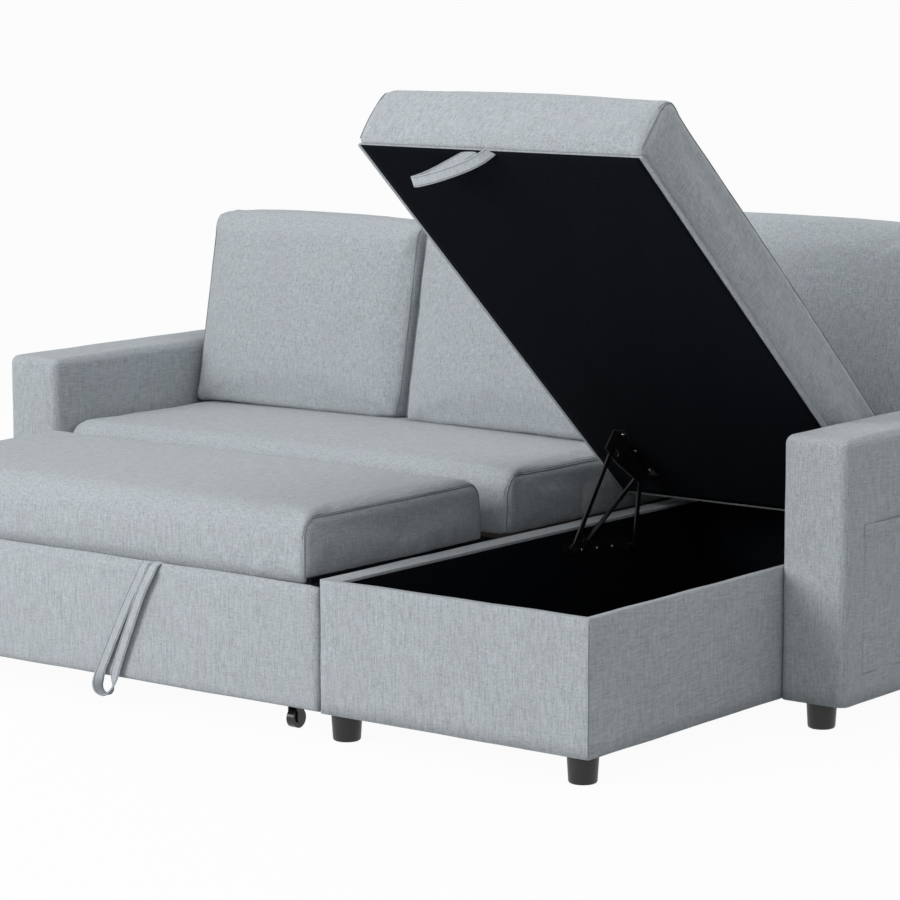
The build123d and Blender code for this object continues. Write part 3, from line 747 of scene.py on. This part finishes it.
def make_chaise_box():
    """The chaise box in one cover, turned over the rim and down inside, with room under the closed lid."""
    lid_room, liner_room = 0.003, Vector((0.003, 0.003, 0))
    low, front_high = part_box("chaise_front_panel")
    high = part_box("chaise_right_panel")[1]
    high.z = front_high.z - lid_room
    well_low, well_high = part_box("storage_liner")
    well_low -= liner_room
    well_high += liner_room
    shape = block(low, high)
    bmesh.ops.inset_region(shape, faces=[face_towards(shape, UP)], thickness=0.015)
    shape.normal_update()
    well = face_towards(shape, UP)
    middle = (low + high) / 2
    for vert in well.verts:
        vert.co.x = well_low.x if vert.co.x < middle.x else well_high.x
        vert.co.y = well_low.y if vert.co.y < middle.y else well_high.y
    sunk = bmesh.ops.extrude_face_region(shape, geom=[well])["geom"]
    bottom = [part for part in sunk if isinstance(part, bmesh.types.BMVert)]
    bmesh.ops.translate(shape, vec=(0, 0, well_low.z - high.z), verts=bottom)
    if well.is_valid:
        bmesh.ops.delete(shape, geom=[well], context="FACES_ONLY")
    bmesh.ops.recalc_face_normals(shape, faces=shape.faces)
    shape.normal_update()
    round_off(shape, edges_between(shape, (FRONT, LEFT)), 0.012, 4)
    rims = [(UP, FRONT), (UP, LEFT), (UP, RIGHT), (UP, BACK), (FRONT, RIGHT)]
    round_off(shape, edges_between(shape, *rims), 0.007, 4)
    lattice(shape, low, high, 0.03)
    ripple(shape, 0.0011, 0.10)
    cover = dress(new_object("chaise_upholstery", shape), "sofa", FABRIC, "upholstery", "chaise_front_panel",
                  "chaise_left_panel", "chaise_right_panel", "chaise_rear_panel")
    path = [Vector((high.x, low.y, low.z + 0.004)), Vector((high.x, low.y, high.z - 0.006))]
    seam("chaise_corner_seam", cover, path, "sofa", width=0.008, depth=0.001, radius=0.0013)


make_arms()
make_back()
make_bed_panel()
make_chaise_box()


# Straps, pocket and lining
def smooth_path(points, count):
    """Evenly spaced points on a smooth curve that the given points pull."""
    curve = bpy.data.curves.new("route", "CURVE")
    curve.dimensions = "3D"
    curve.resolution_u = 24
    line = curve.splines.new("NURBS")
    line.points.add(len(points) - 1)
    for spot, point in zip(line.points, points):
        spot.co = (*point, 1)
    line.use_endpoint_u = True
    line.order_u = 3
    drawn = bpy.data.objects.new("route", curve)
    mesh = bpy.data.meshes.new_from_object(drawn)
    path = [vert.co.copy() for vert in mesh.vertices]
    bpy.data.objects.remove(drawn)
    bpy.data.curves.remove(curve)
    bpy.data.meshes.remove(mesh)
    length = sum((b - a).length for a, b in zip(path, path[1:]))
    return (paced(path, length / count) + [path[-1]])[: count + 1]


def ribbon(name, path, across, width, thickness):
    """A flat tape along a path; across gives the direction of its width at each point."""
    count = len(path) - 1
    shape = bmesh.new()
    bmesh.ops.create_grid(shape, x_segments=count, y_segments=4, size=0.5)
    for vert in shape.verts:
        step = min(count, max(0, round((vert.co.x + 0.5) * count)))
        vert.co = path[step] + across[step] * (vert.co.y * width)
    shape.normal_update()
    bmesh.ops.solidify(shape, geom=shape.faces, thickness=thickness)
    bmesh.ops.recalc_face_normals(shape, faces=shape.faces)
    return smooth_surface(new_object(name, shape))


def turning(start, middle, end, count, hold=0.5):
    """Directions that stay near start, swing through middle and stay near end."""
    made = []
    for step in range(count + 1):
        share = 2 * step / count
        near = max(0.0, min(1.0, ((share if share <= 1 else 2 - share) - hold) / (1 - hold)))
        near = near * near * (3 - 2 * near)
        made.append((start if share <= 1 else end).slerp(middle, near).normalized())
    return made


def tape_stitches(name, tape, path, across, width):
    """Two lines of thread along a tape, on both of its faces."""
    from_middle = 0.36 * width
    surface = surface_of(tape)
    drawn = []
    for side in (-1, 1):
        for face in (-1, 1):
            line = []
            for step in range(2, len(path) - 2):
                along = (path[step + 1] - path[step - 1]).normalized()
                out = along.cross(across[step]).normalized() * face
                spot = path[step] + across[step] * (side * from_middle)
                line.append(surface.find_nearest(spot + out * 0.004)[0] + out * 0.0002)
            drawn.append(tube(f"{name}_line", line, 0.0006))
    shape = bmesh.new()
    for made in drawn:
        shape.from_mesh(made.data)
        bpy.data.objects.remove(made)
    return new_object(name, shape)


TAPE_WIDTH = 0.024
TAPE_THICKNESS = 0.0026


def make_bed_strap():
    """The pull strap: over the bed panel's top edge, down its face in a loop and up again."""
    low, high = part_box("bed_strap")
    panel_low, panel_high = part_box("bed_front_panel")
    face, top = panel_low.y - 0.010, panel_high.z
    left, right = high.x - 0.030, high.x - 0.004
    points = [Vector(spot) for spot in (
        (left, panel_low.y + 0.016, top + 0.0025),
        (left, panel_low.y - 0.003, top + 0.0025),
        (left - 0.004, face, top - 0.018),
        (left - 0.046, face - 0.001, top - 0.090),
        (left - 0.100, face - 0.001, top - 0.195),
        (low.x + 0.004, face, low.z + 0.035),
        (low.x - 0.003, face, low.z + 0.004),
        (low.x + 0.022, face, low.z - 0.008),
        (low.x + 0.042, face - 0.003, low.z + 0.006),
        (low.x + 0.052, face - 0.004, low.z + 0.048),
        (right - 0.064, face - 0.005, top - 0.140),
        (right - 0.024, face - 0.005, top - 0.050),
        (right - 0.004, face - 0.003, top - 0.018),
        (right, panel_low.y - 0.003, top + 0.0035),
        (right, panel_low.y + 0.016, top + 0.0035),
    )]
    path = smooth_path(points, 110)
    ends = turning(RIGHT, Vector((0.2, 0.98, 0)), LEFT, len(path) - 1, 0.80)
    across = []
    for step, way in enumerate(ends):
        along = (path[min(step + 1, len(path) - 1)] - path[max(step - 1, 0)]).normalized()
        across.append((way - along * way.dot(along)).normalized())
    made = ribbon("bed_pull_strap", path, across, TAPE_WIDTH, TAPE_THICKNESS)
    dress(made, "bed", TAPE, "webbing", "bed_strap")
    # The dark stitch lines along the strap's edges are partly painted shade for the edges' shadow lines.
    dress(tape_stitches("bed_strap_stitches", made, path, across, TAPE_WIDTH), "bed", SEAM_THREAD_AND_SHADE, "webbing")


def make_lid_strap():
    """The lid's strap: a loop hung from the front edge."""
    root = LID_PLACE @ Vector((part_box("lid_strap")[1].x - 0.022, 0.004, -0.002))
    points = [root + Vector(step) for step in (
        (-0.020, 0.010, 0.004),
        (-0.030, 0.004, -0.006),
        (-0.092, 0.010, -0.034),
        (-0.142, 0.016, -0.056),
        (-0.168, 0.010, -0.066),
        (-0.170, -0.008, -0.068),
        (-0.140, -0.016, -0.064),
        (-0.070, -0.016, -0.046),
        (0.006, -0.008, -0.016),
        (0.022, 0.006, 0.004),
    )]
    path = smooth_path(points, 60)
    across = turning(Vector((-0.30, 0.25, 0.92)).normalized(), Vector((-0.42, 0.0, 0.9)).normalized(),
                     Vector((-0.50, -0.25, 0.82)).normalized(), len(path) - 1)
    made = ribbon("lid_pull_strap", path, across, TAPE_WIDTH, TAPE_THICKNESS)
    dress(made, "lid", TAPE, "webbing", "lid_strap")
    sewing = tape_stitches("lid_strap_stitches", made, path, across, TAPE_WIDTH)
    dress(sewing, "lid", SEAM_THREAD_AND_SHADE, "webbing")
    for piece in (made, sewing):
        LID_PLACE.to_3x3() @ UP
        LID_PLACE @ Vector((0, 0, -0.0022))
        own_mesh(piece)


def make_pocket():
    """A patch pocket with a turned hem, sewn to the right arm on three sides."""
    off_arm, hem_depth, hem_rise, fullness = 0.0018, 0.026, 0.0016, 0.0055
    inset, hem_line = 0.004, 0.024
    low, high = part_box("arm_pocket")
    shape = bmesh.new()
    bmesh.ops.create_grid(shape, x_segments=40, y_segments=40, size=0.5)
    for vert in shape.verts:
        u, v = vert.co.x, vert.co.y + 0.5
        belly = (1 - (2 * u) ** 2) * v ** 1.6
        hem = hem_rise if v > 1 - hem_depth / (high.z - low.z) else 0.0
        vert.co = Vector((low.x + off_arm + hem + fullness * max(0.0, belly), low.y + (u + 0.5) * (high.y - low.y),
                          low.z + v * (high.z - low.z)))
    shape.normal_update()
    bmesh.ops.solidify(shape, geom=shape.faces, thickness=0.0022)
    bmesh.ops.recalc_face_normals(shape, faces=shape.faces)
    made = dress(new_object("arm_pocket_patch", shape), "sofa", FABRIC, "upholstery", "arm_pocket")
    rim = [Vector((high.x, low.y + inset, high.z)), Vector((high.x, low.y + inset, low.z + inset)),
           Vector((high.x, high.y - inset, low.z + inset)), Vector((high.x, high.y - inset, high.z))]
    stitches("pocket_edge_stitches", made, rim, "sofa")
    hem = [Vector((high.x, low.y + inset, high.z - hem_line)), Vector((high.x, high.y - inset, high.z - hem_line))]
    stitches("pocket_hem_stitches", made, hem, "sofa")


def make_lid_lining():
    """Black lining stretched over the lid's underside, a little slack between its staples."""
    level, slack = -0.0006, 0.0009
    low_x, high_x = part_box("lid_lining")[0].x - 0.009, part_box("lid_lining")[1].x + 0.004
    front, back = 0.006, LID_LENGTH - 0.015
    width, length = high_x - low_x, back - front
    shape = bmesh.new()
    bmesh.ops.create_grid(shape, x_segments=48, y_segments=84, size=0.5)
    for vert in shape.verts:
        u, v = vert.co.x, vert.co.y
        edge = min(0.5 - abs(u), 0.5 - abs(v)) * 2
        sag = slack * noise.noise(Vector((u * 7 + v * 4, v * 5, 0.3))) * min(1, edge * 3)
        vert.co = Vector(((low_x + high_x) / 2 + u * width, (front + back) / 2 + v * length, level + sag))
    shape.normal_update()
    bmesh.ops.solidify(shape, geom=shape.faces, thickness=0.0012)
    bmesh.ops.recalc_face_normals(shape, faces=shape.faces)
    shape.transform(LID_PLACE)
    made = dress(new_object("lid_lining_cloth", shape), "lid", LINING_AND_PAINTED_SHADE, "black_lining", "lid_lining")


def make_lid_border():
    """The lid's fabric turned under its edge, a flat band around the black lining."""
    low_x, high_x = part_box("lid_cushion")[0].x - 0.0015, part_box("lid_cushion")[1].x - 0.002
    low, high = Vector((low_x, 0.004, -0.0004)), Vector((high_x, LID_LENGTH - 0.004, 0.0030))
    shape = block(low, high)
    hidden = [face_towards(shape, UP), face_towards(shape, DOWN)]
    bmesh.ops.inset_individual(shape, faces=hidden, thickness=0.030)
    bmesh.ops.delete(shape, geom=hidden, context="FACES")
    round_off(shape, edges_between(shape, (FRONT, LEFT), (FRONT, RIGHT)), 0.010, 5)
    round_off(shape, edges_between(shape, (DOWN, LEFT), (DOWN, RIGHT), (DOWN, FRONT), (DOWN, BACK)), 0.0015, 3)
    lattice(shape, low, high, 0.03)
    ripple(shape, 0.0005, 0.04)
    shape.transform(LID_PLACE)
    dress(new_object("lid_turned_border", shape), "lid", LID_FABRIC, "upholstery")


make_bed_strap()
make_lid_strap()
make_pocket()
make_lid_lining()
make_lid_border()


# Feet, screws and the finishes of the frame's own pieces
def make_feet():
    """Turned feet, one at each place where the frame has a foot."""
    same_foot = 0.08
    low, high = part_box("feet")
    height = high.z - low.z
    centres = {}
    for vert in nodes["feet"].data.vertices:
        for centre in centres:
            if (Vector((vert.co.x, vert.co.y)) - Vector(centre)).length < same_foot:
                centres[centre].append(vert.co)
                break
        else:
            centres[(vert.co.x, vert.co.y)] = [vert.co]
    shape = bmesh.new()
    profile = [(0.0, 0.0), (0.0245, 0.0), (0.0265, 0.0012), (0.0278, 0.004), (0.0308, height - 0.003),
               (0.0310, height), (0.0, height)]
    for points in centres.values():
        x = (min(p.x for p in points) + max(p.x for p in points)) / 2
        y = (min(p.y for p in points) + max(p.y for p in points)) / 2
        ring = [shape.verts.new((x + radius, y, z)) for radius, z in profile]
        lines = [shape.edges.new(pair) for pair in zip(ring, ring[1:])]
        bmesh.ops.spin(shape, geom=ring + lines, cent=(x, y, 0), axis=(0, 0, 1), angle=2 * math.pi, steps=36,
                       use_merge=True)
    bmesh.ops.remove_doubles(shape, verts=shape.verts, dist=1e-5)
    bmesh.ops.recalc_face_normals(shape, faces=shape.faces)
    dress(new_object("foot_set", shape), "sofa", FOOT_PLASTIC, "black_plastic", "feet", crease=40)


def screw_heads(name, body, places):
    """Bright domed screw heads, each given by its spot and the way it faces."""
    size = Matrix.Diagonal((0.0046, 0.0046, 0.0018, 1))
    shape = bmesh.new()
    for spot, way in places:
        turn = way.to_track_quat("Z", "Y").to_matrix().to_4x4()
        bmesh.ops.create_uvsphere(shape, u_segments=16, v_segments=8, radius=1,
                                  matrix=Matrix.Translation(spot) @ turn @ size)
    dress(new_object(name, shape), body, ZINC, None)


def make_screws():
    """Three screws through each upper plate's flange and three through each lower plate."""
    flat = LID_PLACE.inverted()
    under, walls = [], []
    for side, inward in (("left", RIGHT), ("right", LEFT)):
        points = [flat @ vert.co for vert in nodes[f"{side}_upper_plate"].data.vertices]
        edge = max(point.x * inward.x for point in points) * inward.x
        flange = [point for point in points if abs(point.x - edge) < 0.004]
        start, end = min(point.y for point in flange), max(point.y for point in flange)
        level = min(point.z for point in flange)
        for share in (0.10, 0.46, 0.88):
            spot = Vector((edge - inward.x * 0.013, start + (end - start) * share, level))
            under.append((LID_PLACE @ spot, LID_PLACE.to_3x3() @ DOWN))
        surface = surface_of(nodes[f"{side}_lower_plate"])
        low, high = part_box(f"{side}_lower_plate")
        for share in (0.26, 0.48, 0.70):
            spot = Vector(((low.x + high.x) / 2 + inward.x * 0.03, low.y + (high.y - low.y) * share,
                           high.z - 0.026 - 0.018 * share))
            place = surface.ray_cast(spot, -inward)[0]
            if place:
                walls.append((place, inward))
    screw_heads("lid_screws", "lid", under)
    screw_heads("box_screws", "sofa", walls)


def make_springs():
    """The spring beside each linkage."""
    for side in ("left", "right"):
        name = f"{side}_lid_spring"
        shape = bmesh.new()
        shape.from_mesh(nodes[name].data)
        bmesh.ops.remove_doubles(shape, verts=shape.verts, dist=1e-6)
        made = dress(new_object(f"{side}_spring_strut", shape), "sofa", STEEL, "black_steel", name, crease=40)
        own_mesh(made)


make_feet()
make_screws()
make_springs()

NODE_FINISHES = {
    "storage_liner": LINING_AND_PAINTED_SHADE,
    # deck_board and seat_front_rail are bare boards drawn in the black lining: painted shade where they sit in shadow
    # under the mattress and the seat.
    "deck_board": LINING_AND_PAINTED_SHADE,
    "seat_front_rail": LINING_AND_PAINTED_SHADE,
    "lid_board": LINING_AND_PAINTED_SHADE,
    "chaise_floor": TIMBER_Y,
    "seat_rear_rail": TIMBER_X,
    # seat_slats: near-black timber as painted shade.
    "seat_slats": TIMBER_DARKENED_AS_SHADE,
}


def node_finish(name):
    if name in NODE_FINISHES:
        return NODE_FINISHES[name]
    if name.endswith(("_frame", "caster_block")):
        return TIMBER_Z
    return CASTER_PLASTIC if "caster" in name else STEEL


for name, node in nodes.items():
    if not node.hide_render:
        node.data.materials.clear()
        node.data.materials.append(node_finish(name))


# Stage, light and camera
def make_stage():
    shape = bmesh.new()
    bmesh.ops.create_grid(shape, x_segments=1, y_segments=1, size=150)
    floor = new_object("floor", shape)
    paint = Finish("pale_floor", Roughness=0.9, Specular_IOR_Level=0.1)
    paint.shader.inputs["Base Color"].default_value = (0.64, 0.64, 0.64, 1)
    glow = paint.node("ShaderNodeEmission", {}, {"Color": (1, 1, 1, 1), "Strength": 1.0})
    lit = Wire(paint, paint.shader.outputs[0])
    mixed = paint.node("ShaderNodeMixShader", {}, {0: paint.seen() * 0.955, 1: lit, 2: glow})
    paint.feed(paint.tree.nodes["Material Output"], {"Surface": mixed})
    floor.data.materials.append(paint.material)


def make_world():
    world = bpy.data.worlds.new("studio")
    scene.world = world
    world.use_nodes = True
    sky = Graph(world.node_tree)
    soft = sky.node("ShaderNodeBackground", {}, {"Color": (0.93, 0.97, 1.0, 1), "Strength": 0.46})
    white = sky.node("ShaderNodeBackground", {}, {"Color": (1, 1, 1, 1), "Strength": 1.0})
    mixed = sky.node("ShaderNodeMixShader", {}, {0: sky.seen(), 1: soft, 2: white})
    sky.feed(sky.tree.nodes["World Output"], {"Surface": mixed})


def lamp(name, spot, aim, size, power):
    light = bpy.data.lights.new(name, "AREA")
    light.shape = "SQUARE"
    light.size = size
    light.energy = power
    made = bpy.data.objects.new(name, light)
    scene.collection.objects.link(made)
    made.location = spot
    made.rotation_euler = (Vector(aim) - Vector(spot)).to_track_quat("-Z", "Y").to_euler()


def make_camera():
    lens = bpy.data.cameras.new("photo_view")
    lens.sensor_width = 36
    lens.lens = 138.9
    lens.clip_end = 200
    camera = bpy.data.objects.new("photo_view", lens)
    scene.collection.objects.link(camera)
    camera.location = (4.616, -5.834, 1.576)
    camera.rotation_euler = (math.radians(81.51), 0, math.radians(37.53))
    scene.camera = camera


make_stage()
make_world()
lamp("key", (-2.6, -6.0, 2.9), (0, -0.2, 0.4), 3.4, 335)
lamp("top", (0.8, 0.6, 4.6), (0.4, 0.1, 0.3), 3.5, 76)
lamp("side", (4.4, -4.2, 3.6), (0.3, 0, 0.5), 2.6, 34)
make_camera()
scene.view_settings.view_transform = "Standard"
